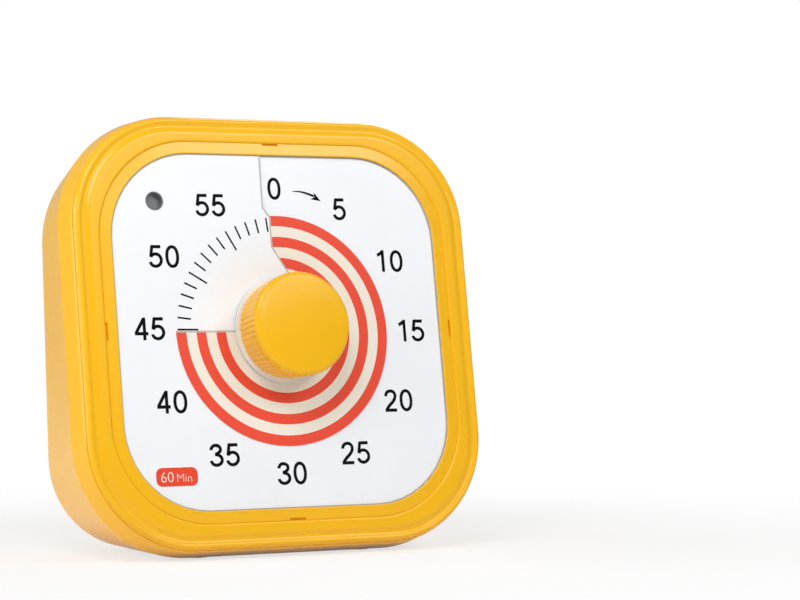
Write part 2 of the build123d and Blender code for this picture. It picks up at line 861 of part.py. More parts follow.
def make_movement_back():
    """Rear half of the movement's case, with the posts that carry what is in it."""
    case = movement_block(0, movement_back_z, split_z)
    case = case - movement_block(movement_wall, movement_floor_z, split_z + 1)
    floor = movement_floor_z - movement_wall / 2
    posts = [rod(1.6, floor, movement_board_z(), spot) for spot in movement_post_places()]
    stator_low = rotor_top() - rotor_length / 2 - stator_thickness / 2
    posts += [rod(1.6, floor, stator_low, spot) for spot in stator_post_places()]
    leaf_post = box(4, 4, floor, wheel_front(2) + wheel_thickness, contact_foot())
    case = case + posts + leaf_post - contact_leaf(run_gap)
    case = case - pivot_holes()
    return case - rod(spindle_pivot_radius + run_gap, movement_back_z + 0.5, movement_floor_z + 1)


def stator_bar_x():
    """Left end of the coil's bar."""
    return rotor_centre[0] - coil_length - 10


def stator_post_places():
    return [(rotor_centre[0] + 3.5, coil_height), (stator_bar_x() + 1.7, coil_height)]


def make_stator():
    """Laminated plate round the rotor, with a bar that carries the coil."""
    high = rotor_top() - rotor_length / 2 + stator_thickness / 2
    low = high - stator_thickness
    foot = rotor_centre[1] - 7.0
    top = coil_height + 2.0
    leg = box(12, top - foot, low, high, (rotor_centre[0], (top + foot) / 2))
    length = rotor_centre[0] + 6 - stator_bar_x()
    bar = box(length, 4, low, high, (stator_bar_x() + length / 2, coil_height))
    return leg + bar - rod(rotor_radius + stator_gap, low - 1, high + 1, rotor_centre)


def make_coil():
    """Winding on the stator's bar."""
    middle = rotor_top() - rotor_length / 2
    centre_x = stator_bar_x() + 3.5 + coil_length / 2
    wire = Rot(0, 90, 0) * Cylinder(coil_radius, coil_length)
    coil = Pos(centre_x, coil_height, middle + 0.8) * wire
    for side in (-1, 1):
        x = centre_x + side * (coil_length / 2 - 0.5)
        coil = coil + Pos(x, coil_height, middle + 0.5) * Box(1, 8, 6.2)
    hole_size = stator_thickness + 2 * run_gap
    hole = Pos(centre_x, coil_height, middle) * Box(2 * coil_length, 4 + 2 * run_gap, hole_size)
    return coil - hole


def movement_board_z():
    return movement_floor_z + 1.2


def movement_post_places():
    x = movement_centre[0] - movement_size[0] / 2
    return [(x + 5, -28), (x + 5, -4)]


def make_movement_board():
    """Small board with the quartz can and the blob of the clock circuit."""
    low = movement_board_z()
    x = movement_centre[0] - movement_size[0] / 2 + 8.5
    board = box(11, 30, low, low + 0.8, (x, -16))
    quartz = Pos(x, -10, low + 1.5) * Rot(90, 0, 0) * Cylinder(1.0, 6)
    blob = box(6, 6, low + 0.8, low + 1.6, (x, -22))
    return board + quartz + blob


def contact_foot():
    return (movement_centre[0] - movement_size[0] / 2 + 5, cam_radius + 1.0)


def contact_leaf(gap):
    """Springy strip that lies just clear of the cam's edge."""
    level = wheel_front(2) + wheel_thickness
    foot = contact_foot()
    length = spindle_radius - foot[0] + 2 + gap
    middle = (foot[0] - 1 + length / 2, foot[1] - 0.5)
    height = contact_thickness + 2 * gap
    return box(length, height, level - 2 * cam_thickness - gap, level + 1 + gap, middle)


def make_mounting_bush():
    """Brass bush that holds the movement to the tray and bears the spindle."""
    flange_top = movement_inner_z
    bush = rod(bush_radius, flange_top - bush_flange, bush_top)
    bush = bush + rod(bush_flange_radius, flange_top - bush_flange, flange_top)
    return bush - rod(spindle_radius + run_gap, flange_top - 2, bush_top + 1)


def make_mounting_nut():
    hexagon = extrude(RegularPolygon(nut_width / 2, 6, major_radius=False), amount=nut_height)
    nut = Pos(0, 0, nut_z) * hexagon
    return nut - rod(bush_radius + run_gap / 2, nut_z - 1, nut_z + nut_height + 1)


def make_mounting_washer():
    return tube(washer_radius, bush_radius + run_gap, -tray_recess_floor, nut_z)


def make_gasket():
    return tube(gasket_radius, bush_radius + seat_gap, movement_z, ledge_z)


# ---------------------------------------------------------------- alert lamp
def lens_back_z():
    return ledge_z - lens_flange_thickness


def lamp_board_z():
    return lens_back_z() - led_length


def lamp_post_places():
    x = lens_flange + seat_gap + lamp_post_radius
    return [(lamp_centre[0] + side * x, lamp_centre[1]) for side in (-1, 1)]


def make_lamp_lens():
    plug = rod(lamp_hole, ledge_z, -lamp_recess, lamp_centre)
    return plug + rod(lens_flange, lens_back_z(), ledge_z, lamp_centre)


def make_lamp_led():
    """Domed lamp with its base ring, standing on the lamp board."""
    base = lamp_board_z()
    middle = base + led_length - led_radius - run_gap
    dome = Pos(*lamp_centre, middle) * Sphere(led_radius)
    body = rod(led_radius, base, middle, lamp_centre)
    return dome + body + rod(led_radius + 0.4, base, base + 1, lamp_centre)


def make_lamp_board():
    top = lamp_board_z()
    return box(*lamp_board_size, top - board_thickness, top, lamp_centre)


# ---------------------------------------------------------------- top button
def make_top_button():
    """Long press bar with a hidden flange, a middle stem and two guide pins."""
    skin = wall * math.cos(math.radians(lean))
    flange_top = -skin - seat_gap
    flange_low = flange_top - button_flange_thickness
    cap = box(button_length, button_width, flange_low, button_proud)
    cap = fillet(cap.edges().filter_by(Axis.Z), button_width / 3)
    cap = fillet(cap.edges().group_by(Axis.Z)[-1], button_round)
    long = button_length + 2 * button_flange
    flange = box(long, button_width + 2 * button_flange, flange_low, flange_top)
    stem = box(button_stem, button_stem, plunger_top(), flange_low)
    pin = rod(guide_radius, -shelf_drop - shelf_thickness / 2, flange_low)
    pins = [Pos(x, 0, 0) * pin for x in (-guide_offset, guide_offset)]
    return top_frame() * (cap + flange + stem + pins)


def plunger_top():
    """Top of the switch's plunger, clear of the switch body when pressed."""
    return -shelf_drop + board_thickness + tact_height + button_travel + slide_gap


def make_button_plunger():
    low = plunger_top() - button_travel - 2 * slide_gap
    return top_frame() * rod(plunger_radius, low, plunger_top())


def make_button_switch():
    """Push switch under the stem, hollow where its plunger goes."""
    low = -shelf_drop + board_thickness
    high = low + tact_height
    room = button_travel + 2 * slide_gap
    hole = rod(plunger_radius + run_gap, high - room, high + 1)
    return top_frame() * (box(tact_size, tact_size, low, high) - hole)


def make_button_board():
    length = 2 * (guide_offset - guide_radius) - 4
    return top_frame() * box(length, button_width, -shelf_drop, -shelf_drop + board_thickness)


# ---------------------------------------------------------------- volume switch and boards
def make_volume_slider():
    """Ribbed thumb piece in the recess, with a shank into the switch."""
    cap = box(*slider_size, -slider_proud, switch_recess[2] - seat_gap, switch_centre)
    for step in (-1, 0, 1):
        groove = Pos(switch_centre[0] + 1.2 * step, switch_centre[1], -slider_proud)
        cap = cap - groove * Box(0.5, 2 * slider_size[1], 0.8)
    shank = box(*slider_shank, 0, wall + switch_body[2] / 2, switch_centre)
    return back_frame * (cap + shank)


def make_volume_switch():
    """Switch body on the main board, slotted for the slider's travel."""
    width, height, depth = switch_body
    body = box(width, height, wall + seat_gap, board_level, switch_centre)
    long = slider_shank[0] + 2 * (switch_travel + slide_gap)
    tall = slider_shank[1] + 2 * slide_gap
    slot = box(long, tall, wall, wall + depth / 2 + slide_gap, switch_centre)
    return back_frame * (body - slot)


def make_main_board():
    """Alarm board on two posts of the rear shell, with its chip and capacitor."""
    top = board_level + board_thickness
    board = box(*main_board_size, board_level, top, switch_centre)
    for spot in board_post_places():
        board = board - rod(board_screw_radius + seat_gap, board_level - 1, top + 1, spot)
    chip = box(8, 6, top, top + 1.6, (switch_centre[0] - 8, switch_centre[1] + 4))
    capacitor = rod(3.2, top, top + 7, (switch_centre[0] + 10, switch_centre[1] - 6))
    return back_frame * (board + chip + capacitor)


def make_board_screws():
    top = board_level + board_thickness
    screws = []
    for spot in board_post_places():
        shank = rod(board_screw_radius, top - 6, top, spot)
        screws.append(shank + rod(board_screw_head, top, top + 1.4, spot))
    return on_back(screws)


# ---------------------------------------------------------------- speaker
def make_speaker():
    """Basket with its rim on the grille, and the magnet can behind."""
    low = wall
    rim = tube(speaker_radius, speaker_radius - 1.5, low, low + 1.5, speaker_centre)
    basket = tube(speaker_radius - 0.8, speaker_radius - 2, low + 1, low + 4, speaker_centre)
    plate = rod(speaker_radius - 0.8, low + 3.2, low + 4, speaker_centre)
    magnet = rod(speaker_radius / 2, low + 4, low + speaker_height, speaker_centre)
    return back_frame * (rim + basket + plate + magnet)


def make_speaker_cone():
    """Shallow cone with a domed cap."""
    rim = speaker_radius - 1.5 - run_gap
    outline = [(0, 2.4), (4, 2.4), (rim, 0.7), (rim, 0.4), (4, 2.0), (0, 1.4)]
    section = Plane.XZ * make_face(Polyline(*outline, close=True))
    cone = revolve(section, Axis.Z, 360)
    return back_frame * Pos(*speaker_centre, wall) * cone


# ---------------------------------------------------------------- battery bay
def cell_offset():
    return cell_radius + cell_gap / 2


def cell_shift():
    """How far a cell is pushed towards the plate that its nub touches."""
    return bay_length / 2 - contact_thickness - (cell_length + cell_nub) / 2


def cell_level():
    """Height of the cells' axes above the back."""
    return door_thickness + seat_gap + cell_radius


def make_batteries():
    """Two cells laid head to tail."""
    cells = []
    for side in (-1, 1):
        body = Cylinder(cell_radius, cell_length - cell_nub)
        body = body + Pos(0, 0, cell_length / 2) * Cylinder(cell_nub_radius, cell_nub)
        place = Pos(side * cell_shift(), bay_centre_y + side * cell_offset(), cell_level())
        cells.append(place * Rot(0, side * 90, 0) * body)
    return on_back(cells)


def make_battery_contacts():
    """Flat plates at the ends of the bay: one bridges the cells, two lead out."""
    plates = []
    x = bay_length / 2 - contact_thickness / 2
    low = cell_level() - 4
    high = cell_level() + 4
    plates.append(box(contact_thickness, 22, low, high, (x, bay_centre_y)))
    for side in (-1, 1):
        spot = (-x, bay_centre_y + side * cell_offset())
        plates.append(box(contact_thickness, 9, low, high, spot))
    return on_back(plates)


def make_battery_springs():
    """Coils that press on the flat ends of the cells."""
    springs = []
    inner_x = bay_length / 2 - contact_thickness
    room = inner_x + cell_shift() - (cell_length - cell_nub) / 2
    length = room - 2 * spring_wire - 2 * run_gap
    path = Edge.make_helix(length / spring_turns, length, spring_radius)
    wire = sweep(Plane(origin=path @ 0, z_dir=path % 0) * RegularPolygon(spring_wire, 6), path=path)
    for side in (-1, 1):
        start = -side * (inner_x - spring_wire - run_gap)
        place = Pos(start, bay_centre_y + side * cell_offset(), cell_level())
        springs.append(place * Rot(0, side * 90, 0) * wire)
    return on_back(springs)


def make_battery_door():
    """Flush cover with two hooks at its foot, a finger notch and grip ribs at its head."""
    width, height = door_size()
    width = width - 2 * seat_gap
    head = bay_centre_y + height / 2 - seat_gap
    foot = bay_centre_y - height / 2 + seat_gap
    inside = door_thickness - run_gap
    plate = box(width, head - foot, 0, inside, (0, (head + foot) / 2))
    plate = plate - Pos(0, head, 0) * Box(14, 3, 1.6)
    for number in range(3):
        plate = plate - Pos(0, head - 5 - 2 * number, 0) * Box(16, 0.8, 0.8)
    hook_width, hook_reach, hook_thickness = door_hook
    low = door_lip + slide_gap
    reach = hook_reach + 1
    for x in door_hook_places():
        hook = box(hook_width, reach, low, low + hook_thickness, (x, foot + 1 - reach / 2))
        plate = plate + hook
    return back_frame * plate


# ---------------------------------------------------------------- all pieces
pieces = {
    "front_shell": make_front_shell(),
    "bezel_ring": make_bezel_ring(),
    "rear_shell": make_rear_shell(),
    "dial_sheet": make_dial_sheet(),
    "dial_tray": make_dial_tray(),
    "case_screws": make_case_screws(),
    "rubber_feet": make_rubber_feet(),
    "knob": make_knob(),
    "knob_collar": make_knob_collar(),
    "spindle": make_spindle(),
    "clutch_collar": make_clutch_collar(),
    "clutch_spring": make_clutch_spring(),
    "alarm_cam": make_alarm_cam(),
    "ring_disc": make_ring_disc(),
    "disc_hub": make_disc_hub(),
    "movement_front": make_movement_front(),
    "movement_back": make_movement_back(),
    "mounting_bush": make_mounting_bush(),
    "mounting_nut": make_mounting_nut(),
    "mounting_washer": make_mounting_washer(),
    "movement_gasket": make_gasket(),
    "output_wheel": make_output_wheel(),
    "third_wheel": make_third_wheel(),
    "second_wheel": make_second_wheel(),
    "rotor": make_rotor(),
    "stator": make_stator(),
    "coil": make_coil(),
    "movement_board": make_movement_board(),
    "alarm_contact": contact_leaf(0),
    "lamp_lens": make_lamp_lens(),
    "lamp_led": make_lamp_led(),
    "lamp_board": make_lamp_board(),
    "top_button": make_top_button(),
    "button_plunger": make_button_plunger(),
    "button_switch": make_button_switch(),
    "button_board": make_button_board(),
    "volume_slider": make_volume_slider(),
    "volume_switch": make_volume_switch(),
    "main_board": make_main_board(),
    "board_screws": make_board_screws(),
    "speaker": make_speaker(),
    "speaker_cone": make_speaker_cone(),
    "battery_door": make_battery_door(),
    "batteries": make_batteries(),
    "battery_contacts": make_battery_contacts(),
    "battery_springs": make_battery_springs(),
}


def leaned(shape):
    """Stand a piece, or a list of pieces, in the timer's leaning pose."""
    solids = shape if isinstance(shape, list) else [shape]
    upright = [Rot(90 - lean, 0, 0) * solid for solid in solids]
    return upright[0] if len(upright) == 1 else Compound(children=upright)


# The feet's undersides lie on the floor, and the origin is under the middle of the box.
tilt = math.radians(lean)
floor_drop = case_half * math.cos(tilt) + seam_depth * math.sin(tilt) + foot_proud
standing = {name: leaned(shape) for name, shape in pieces.items()}
boxes = [shape.bounding_box() for shape in standing.values()]
front_y = min(box_of_piece.min.Y for box_of_piece in boxes)
back_y = max(box_of_piece.max.Y for box_of_piece in boxes)
to_origin = Pos(0, -(front_y + back_y) / 2, floor_drop)

os.makedirs("parts", exist_ok=True)
for name, shape in standing.items():
    export_step(to_origin * shape, f"parts/{name}.step")

print("dial centre", to_origin.position)
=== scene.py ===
"""Looks of the visual countdown timer: printed dial, ring disc, moulded case and studio.

Lengths are metres. What is printed is drawn flat on the dial's own plane, with X to the
right, Y up the dial and the knob's axis at the origin, and is then laid on its sheet.
"""

import json
import math

import bmesh
import bpy
from mathutils import Euler, Matrix, Vector
from mathutils.bvhtree import BVHTree


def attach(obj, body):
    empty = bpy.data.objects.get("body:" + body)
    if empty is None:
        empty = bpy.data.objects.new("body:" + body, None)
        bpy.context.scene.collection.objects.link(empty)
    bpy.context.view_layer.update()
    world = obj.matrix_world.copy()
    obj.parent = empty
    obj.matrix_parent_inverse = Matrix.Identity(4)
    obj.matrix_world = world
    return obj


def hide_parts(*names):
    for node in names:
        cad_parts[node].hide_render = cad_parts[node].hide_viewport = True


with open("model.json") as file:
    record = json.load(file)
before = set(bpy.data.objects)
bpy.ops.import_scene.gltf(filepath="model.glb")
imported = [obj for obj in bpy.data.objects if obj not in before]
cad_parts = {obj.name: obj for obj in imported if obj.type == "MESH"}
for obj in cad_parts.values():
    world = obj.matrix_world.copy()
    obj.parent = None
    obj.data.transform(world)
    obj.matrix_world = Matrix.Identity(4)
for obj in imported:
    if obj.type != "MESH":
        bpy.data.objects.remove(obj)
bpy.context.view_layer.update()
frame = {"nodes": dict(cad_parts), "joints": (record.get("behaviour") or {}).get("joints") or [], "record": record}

MM = 0.001

# ---- the dial's place, from the knob's joint
knob_joint = next(joint for joint in frame["joints"] if joint["name"] == "knob_turn")
dial_centre = Vector(knob_joint["pos_m"])
dial_normal = -Vector(knob_joint["axis"]).normalized()
lean = math.atan2(dial_normal.z, -dial_normal.y)
dial_turn = Euler((math.radians(90) - lean, 0, 0))
dial_place = Matrix.Translation(dial_centre) @ dial_turn.to_matrix().to_4x4()

sharp_angle = math.radians(40)  # above which an edge of a new piece isn't smoothed
circle_handle = 0.5523  # of a quarter circle drawn as one curve, as a share of its radius

# ---- printing on the dial
ink_lift = 0.03 * MM  # of the ink above its sheet
number_radius = 58.2 * MM  # of the circle through the numbers' middles
number_centre = (-0.05 * MM, 0.2 * MM)
print_turn = 0.13  # how far the numbers and ticks stand ahead, in minutes
digit_height = 9.05 * MM
digit_width = 5.75 * MM
digit_pitch = 7.1 * MM
digit_stroke = 1.33 * MM
tick_outer = 46.3 * MM
short_tick_inner = 40.5 * MM
long_tick_inner = 37.4 * MM
tick_stroke = 0.72 * MM
first_tick = 45  # the disc covers the minutes before this one
arrow_bend = [(9.0, 57.4, 0.3), (12.0, 57.35, 0.7), (15.1, 56.75, 1.0), (18.6, 55.5, 1.15)]
arrow_stroke = 0.85 * MM  # times the third number of each point above
arrow_tip = (21.6 * MM, 53.5 * MM)
arrow_head_length = 4.4 * MM
arrow_head_width = 3.4 * MM
arrow_head_angle = math.radians(-30)
arrow_head_outline = [(0, 0), (-1, 0.5), (-0.74, 0), (-1, -0.5)]  # shares of length and width
tag_centre = (-50.8 * MM, -57.8 * MM)
tag_size = (17.7 * MM, 7.4 * MM)
tag_round = 2.5 * MM
tag_thinning = 0.07 * MM  # off each side of the letters' strokes
tag_base = 2.0 * MM  # from the tag's middle down to the letters' feet
tag_words = (("60", 5.9 * MM, -4.2 * MM), ("Min", 4.7 * MM, 3.1 * MM))  # text, size, shift
# painted shade: grey lines along the dial film's edge under the ring, the slit's cut and the disc's leading edge
edge_line_half = 71.75 * MM
edge_line_centre = 37.0 * MM
edge_line_stroke = 0.56 * MM
slit_shade_line = [(-4.9, 71.6), (-4.9, 50.4), (-2.1, 46.3), (-2.1, 34.1), (5.5, 21.8)]
slit_line_stroke = 0.6 * MM
slit_line_set = 0.4 * MM  # from the cut to the middle of its line
disc_line_start = 46.8 * MM  # from the axis
disc_line_end = 16.5 * MM

# ---- knob, with heights above the dial
knob_radius = 21.3 * MM  # at the crown, its widest place
knob_foot_radius = 20.1 * MM
knob_foot = 2.25 * MM
knob_edge = 19.0 * MM  # corner between the side and the face, before its rounding
knob_crown_round = 2.4 * MM
knob_dome = 1.2 * MM
crown_segments = 10
outer_cuts = 14  # across the side and the face, for the ribs and the dome
knob_ribs = 58
rib_steps = 8  # round each rib
rib_depth = 0.42 * MM
rib_end = 16.9 * MM  # where the ribs start to run out
rib_fade = 1.8 * MM
knob_bore = 17.45 * MM
knob_roof = 16.6 * MM
knob_post_radius = 6.0 * MM
web_thickness = 1.6 * MM
web_sink = 0.4 * MM  # into the side, the post and the roof
shaft_radius = 3.03 * MM  # of the hole for the spindle
shaft_end = 14.1 * MM
shaft_flat = 2.23 * MM  # from the axis to the flat of the hole's D
flat_foot = 4.0 * MM
flat_step = 0.05 * MM  # height of the ledge where the round hole turns into a D
merge_distance = 0.002 * MM
inner_margin = 1 * MM  # tells the outer surface from the walls of the cavity
roof_margin = 0.1 * MM
long_edge = 10 * MM  # only the whole side and the whole face are longer

# ---- lamp's cup
lamp_centre = (-52.5 * MM, 52.4 * MM)
cup_radius = 3.82 * MM
cup_bore = 3.45 * MM
cup_depth = 2.38 * MM

# ---- ring disc
disc_radius = 47.0 * MM
ring_edges = (0.54, 0.632, 0.725, 0.816, 0.910)  # shares of the disc's radius

# ---- grain, as the scale of its noise over metres
drift_grain = 22.0  # a slow change of colour
gloss_grain = 160.0
skin_grain = 900.0  # of a moulded surface
film_grain = 1400.0
finest_grain = 1600.0
paper_grain = 600.0
drawn_grain = 700.0  # of bare metal
fibre_grain = 900.0
winding_grain = 1600.0
disc_grain = 40.0
resist_grain = 120.0  # of the boards' solder resist
enamel_grain = 300.0

# ---- share of the mirror-like reflection
case_sheen = {"Specular IOR Level": 0.4}
knob_sheen = {"Specular IOR Level": 0.36}
disc_sheen = {"Specular IOR Level": 0.25}
ink_sheen = {"Specular IOR Level": 0.08}

# ---- colours, as sRGB
YELLOW = (248, 187, 12)
WHITE_PRINT = (243, 246, 250)
RING_RED = (236, 78, 54)
RING_CREAM = (242, 235, 221)
INK = (7, 7, 9)
TAG_TEXT = (252, 232, 220)
# painted shade of the gap where the dial film meets the ring
GAP_SHADE_GREY = (184, 181, 178)
# painted shade of the slit's and the disc's raised cut edges
SLIT_SHADE_GREY = (184, 183, 182)
FLOOR_WHITE = (250, 250, 250)
FLOOR_FLECK = (253, 253, 253)

# ---- studio
floor_half = 6.0
floor_grain = 6.0
floor_fade = (0.12, 0.4)  # distances from the middle between which the floor turns white
floor_white = (0.7, 1.0)  # share of plain white at those distances
gloss_share = 0.4  # of the white background that a gloss shows
soft_light = (0.95, 0.97, 1.0, 1.0)
soft_strength = 0.12
plain_white = (1.0, 1.0, 1.0, 1.0)
softboxes = [  # name, place, size, power in watts
    ("key_box", (-0.4, -0.5, 0.75), (0.5, 0.4), 4.0),
    ("front_box", (0.55, -0.9, 0.9), (0.6, 0.24), 3.25),
    ("arch_box", (0.2, -1.15, 0.68), (0.18, 0.28), 1.15),
    ("low_box", (0.55, -0.9, 0.63), (0.6, 0.14), 0.7),
    ("side_box", (-1.1, -0.42, 0.35), (0.45, 0.7), 1.9),
    ("left_box", (-1.05, 0.45, 0.3), (0.4, 0.6), 4.6),
    ("top_box", (0.0, 0.1, 1.1), (0.9, 0.4), 0.85),
    ("back_box", (0.9, 0.95, 0.7), (0.8, 0.6), 4.5),
]

# ---- camera, with its place measured from the dial's middle
camera_place = Vector((-0.4698, -0.9843, 0.0135))
camera_view = Vector((0.46944, 0.88296, -0.00129))
camera_roll = math.radians(-0.15)
sensor_width = 36.0
focal_length = 121.43
nearest_view = 0.05


# ---------------------------------------------------------------- helpers
def add_object(name, data):
    """A new object at the origin, linked to the scene."""
    made = bpy.data.objects.new(name, data)
    bpy.context.scene.collection.objects.link(made)
    return made


def mesh_from(name, shape):
    """The mesh of a finished bmesh, which is then freed."""
    mesh = bpy.data.meshes.new(name)
    shape.to_mesh(mesh)
    shape.free()
    return mesh


# ---------------------------------------------------------------- shader nodes
def linear(colour):
    """An sRGB colour of 0 to 255 as the shader's own numbers."""
    def channel(value):
        value /= 255
        return value / 12.92 if value <= 0.04045 else ((value + 0.055) / 1.055) ** 2.4

    return (*(channel(value) for value in colour), 1.0)


def shaded(colour, factor):
    """The same colour, lighter or darker."""
    return tuple(min(255, value * factor) for value in colour)


def add_node(tree, kind, inputs=None, **settings):
    """A shader node with its settings, its sockets given values or linked."""
    made = tree.nodes.new("ShaderNode" + kind)
    for name, value in settings.items():
        setattr(made, name, value)
    for name, value in (inputs or {}).items():
        if isinstance(value, bpy.types.NodeSocket):
            tree.links.new(value, made.inputs[name])
        else:
            made.inputs[name].default_value = value
    return made


def new_material(name):
    """An empty material, its tree and its piece's own coordinates."""
    material = bpy.data.materials.new(name)
    material.use_nodes = True
    tree = material.node_tree
    tree.nodes.clear()
    place = add_node(tree, "TexCoord").outputs["Object"]
    return material, tree, place


def noise(tree, place, scale, detail=3.0):
    """An even noise of 0 to 1 over the piece."""
    inputs = {"Vector": place, "Scale": scale, "Detail": detail}
    return add_node(tree, "TexNoise", inputs).outputs["Fac"]


def between(tree, factor, low, high):
    """A number that follows a 0 to 1 factor from low to high."""
    inputs = {"Value": factor, "To Min": low, "To Max": high}
    return add_node(tree, "MapRange", inputs).outputs["Result"]


def two_tone(tree, factor, first, second):
    """A colour that drifts between two."""
    ramp = add_node(tree, "ValToRGB", {"Fac": factor})
    ramp.color_ramp.elements[0].position = 0.3
    ramp.color_ramp.elements[1].position = 0.7
    ramp.color_ramp.elements[0].color = linear(first)
    ramp.color_ramp.elements[1].color = linear(second)
    return ramp.outputs["Color"]


def bumped(tree, height, depth):
    """A normal from a height pattern, with its full depth in metres."""
    inputs = {"Height": height, "Distance": depth, "Strength": 1.0}
    return add_node(tree, "Bump", inputs).outputs["Normal"]


def surface(tree, inputs):
    """The tree's shader and its output."""
    shader = add_node(tree, "BsdfPrincipled", inputs)
    add_node(tree, "OutputMaterial", {"Surface": shader.outputs["BSDF"]})


# ---------------------------------------------------------------- finishes
def moulded(name, colour, gloss, grain=skin_grain, depth=0.006 * MM, drift=0.05, **extra):
    """Moulded plastic: a slow drift of colour, an uneven gloss and a fine skin."""
    material, tree, place = new_material(name)
    slow = noise(tree, place, drift_grain)
    skin = noise(tree, place, grain, 4.0)
    inputs = {
        "Base Color": two_tone(tree, slow, shaded(colour, 1 - drift), shaded(colour, 1 + drift)),
        "Roughness": between(tree, noise(tree, place, gloss_grain), gloss - 0.05, gloss + 0.05),
        "Normal": bumped(tree, skin, depth),
    }
    surface(tree, {**inputs, **extra})
    return material


def metal(name, colour, gloss):
    """Bare metal with a fine drawn or turned grain."""
    material, tree, place = new_material(name)
    lines = noise(tree, place, drawn_grain, 5.0)
    inputs = {
        "Base Color": two_tone(tree, lines, shaded(colour, 0.88), shaded(colour, 1.06)),
        "Roughness": between(tree, lines, gloss - 0.08, gloss + 0.1),
        "Normal": bumped(tree, lines, 0.004 * MM),
        "Metallic": 1.0,
    }
    surface(tree, inputs)
    return material


def printed_white():
    """White film of the dial: a slight mottle and a soft satin gloss."""
    film = {"grain": film_grain, "depth": 0.002 * MM, "drift": 0.008}
    return moulded("dial_film", WHITE_PRINT, 0.38, **film)


def from_axis(tree, place):
    """Distance of a point from the knob's axis."""
    flat = add_node(
        tree,
        "Mapping",
        {"Vector": place, "Location": dial_centre, "Rotation": dial_turn},
        vector_type="TEXTURE",
    ).outputs["Vector"]
    inputs = {0: flat, 1: (1.0, 1.0, 0.0)}
    level = add_node(tree, "VectorMath", inputs, operation="MULTIPLY").outputs["Vector"]
    return add_node(tree, "VectorMath", {0: level}, operation="LENGTH").outputs["Value"]


def ringed_film():
    """Disc film: red rings printed on cream, from shares of the disc's radius."""
    material, tree, place = new_material("ring_film")
    inputs = {0: from_axis(tree, place), 1: disc_radius}
    share = add_node(tree, "Math", inputs, operation="DIVIDE").outputs["Value"]
    ramp = add_node(tree, "ValToRGB", {"Fac": share})
    bands = ramp.color_ramp
    bands.interpolation = "CONSTANT"
    bands.elements[0].color = linear(RING_CREAM)
    bands.elements[1].position = ring_edges[0]
    bands.elements[1].color = linear(RING_RED)
    for number, edge in enumerate(ring_edges[1:]):
        colour = RING_RED if number % 2 else RING_CREAM
        bands.elements.new(edge).color = linear(colour)
    mottle = noise(tree, place, disc_grain)
    inputs = {
        "Base Color": ramp.outputs["Color"],
        "Roughness": between(tree, mottle, 0.36, 0.46),
        "Normal": bumped(tree, noise(tree, place, film_grain), 0.002 * MM),
    }
    surface(tree, {**inputs, **disc_sheen})
    return material


def clear_resin():
    """Milky clear epoxy of the lamp's body."""
    clear = {"Transmission Weight": 0.7, "IOR": 1.5}
    return moulded("clear_resin", (236, 232, 226), 0.15, drift=0.02, **clear)


def board_green():
    """Solder resist over copper: a fibre weave shows faintly through."""
    material, tree, place = new_material("board_green")
    weave = {"Vector": place, "Scale": fibre_grain, "Distortion": 1.5}
    waves = add_node(tree, "TexWave", weave).outputs["Fac"]
    inputs = {
        "Base Color": two_tone(tree, waves, (22, 84, 50), (30, 100, 60)),
        "Roughness": between(tree, noise(tree, place, resist_grain), 0.25, 0.4),
        "Normal": bumped(tree, waves, 0.01 * MM),
    }
    surface(tree, inputs)
    return material


def wound_copper():
    """Enamelled wire wound side by side round the coil's length."""
    material, tree, place = new_material("wound_copper")
    winding = {"Vector": place, "Scale": winding_grain}
    turns = add_node(tree, "TexWave", winding).outputs["Fac"]
    inputs = {
        "Base Color": two_tone(tree, turns, (132, 58, 26), (196, 104, 56)),
        "Roughness": between(tree, noise(tree, place, enamel_grain), 0.28, 0.4),
        "Normal": bumped(tree, turns, 0.05 * MM),
        "Metallic": 0.85,
    }
    surface(tree, inputs)
    return material


finishes = {
    "yellow_plastic": moulded("case_yellow", YELLOW, 0.24, drift=0.012, **case_sheen),
    "dial_print": printed_white(),
    "disc_print": ringed_film(),
    "white_plastic": moulded("satin_white", (238, 238, 236), 0.4, drift=0.01),
    "grey_plastic": moulded("switch_grey", (112, 112, 115), 0.45),
    "black_plastic": moulded("fine_black", (26, 26, 28), 0.5, depth=0.02 * MM),
    "gear_plastic": moulded("gear_acetal", (228, 222, 204), 0.42, drift=0.02),
    "steel": metal("bright_steel", (188, 190, 194), 0.3),
    "brass": metal("turned_brass", (208, 172, 96), 0.28),
    "copper": wound_copper(),
    "magnet": metal("dark_ferrite", (62, 62, 68), 0.5),
    "circuit_board": board_green(),
    "rubber": moulded("foot_rubber", (34, 34, 34), 0.75, grain=finest_grain, depth=0.03 * MM),
    "lamp_grey": moulded("lamp_grey", (116, 117, 118), 0.28, drift=0.02),
    "lamp_clear": clear_resin(),
    "cell_jacket": moulded("cell_jacket", (62, 96, 128), 0.3, drift=0.02),
    "cone_paper": moulded("cone_paper", (34, 34, 36), 0.85, grain=paper_grain, depth=0.05 * MM),
}
for row in frame["record"]["subparts"]:
    cad_mesh = frame["nodes"][row["node"]].data
    cad_mesh.materials.clear()
    cad_mesh.materials.append(finishes[row["material_slot"]])


# ---------------------------------------------------------------- printing, and painted shade lines
def ink(name, colour):
    """Screen ink, also used as flat paint for the painted shade lines: nearly flat and nearly matt, with a slight
    mottle.
    """
    skin = {"grain": finest_grain, "depth": 0.002 * MM, "drift": 0.02}
    return moulded(name, colour, 0.6, **skin, **ink_sheen)


def ink_piece(name, mesh, material, body="case", sheet="dial_sheet", lift=ink_lift):
    """Lay a flat mesh on a sheet's front face, and let it ride with that sheet."""
    carrier = BVHTree.FromObject(frame["nodes"][sheet], bpy.context.evaluated_depsgraph_get())
    mesh.transform(dial_place)
    well_above = 10 * MM * dial_normal
    for vertex in mesh.vertices:
        spot, *_ = carrier.ray_cast(vertex.co + well_above, -dial_normal)
        if spot is not None:
            vertex.co = spot + lift * dial_normal
    mesh.materials.clear()
    mesh.materials.append(material)
    piece = add_object(name, mesh)
    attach(piece, body)


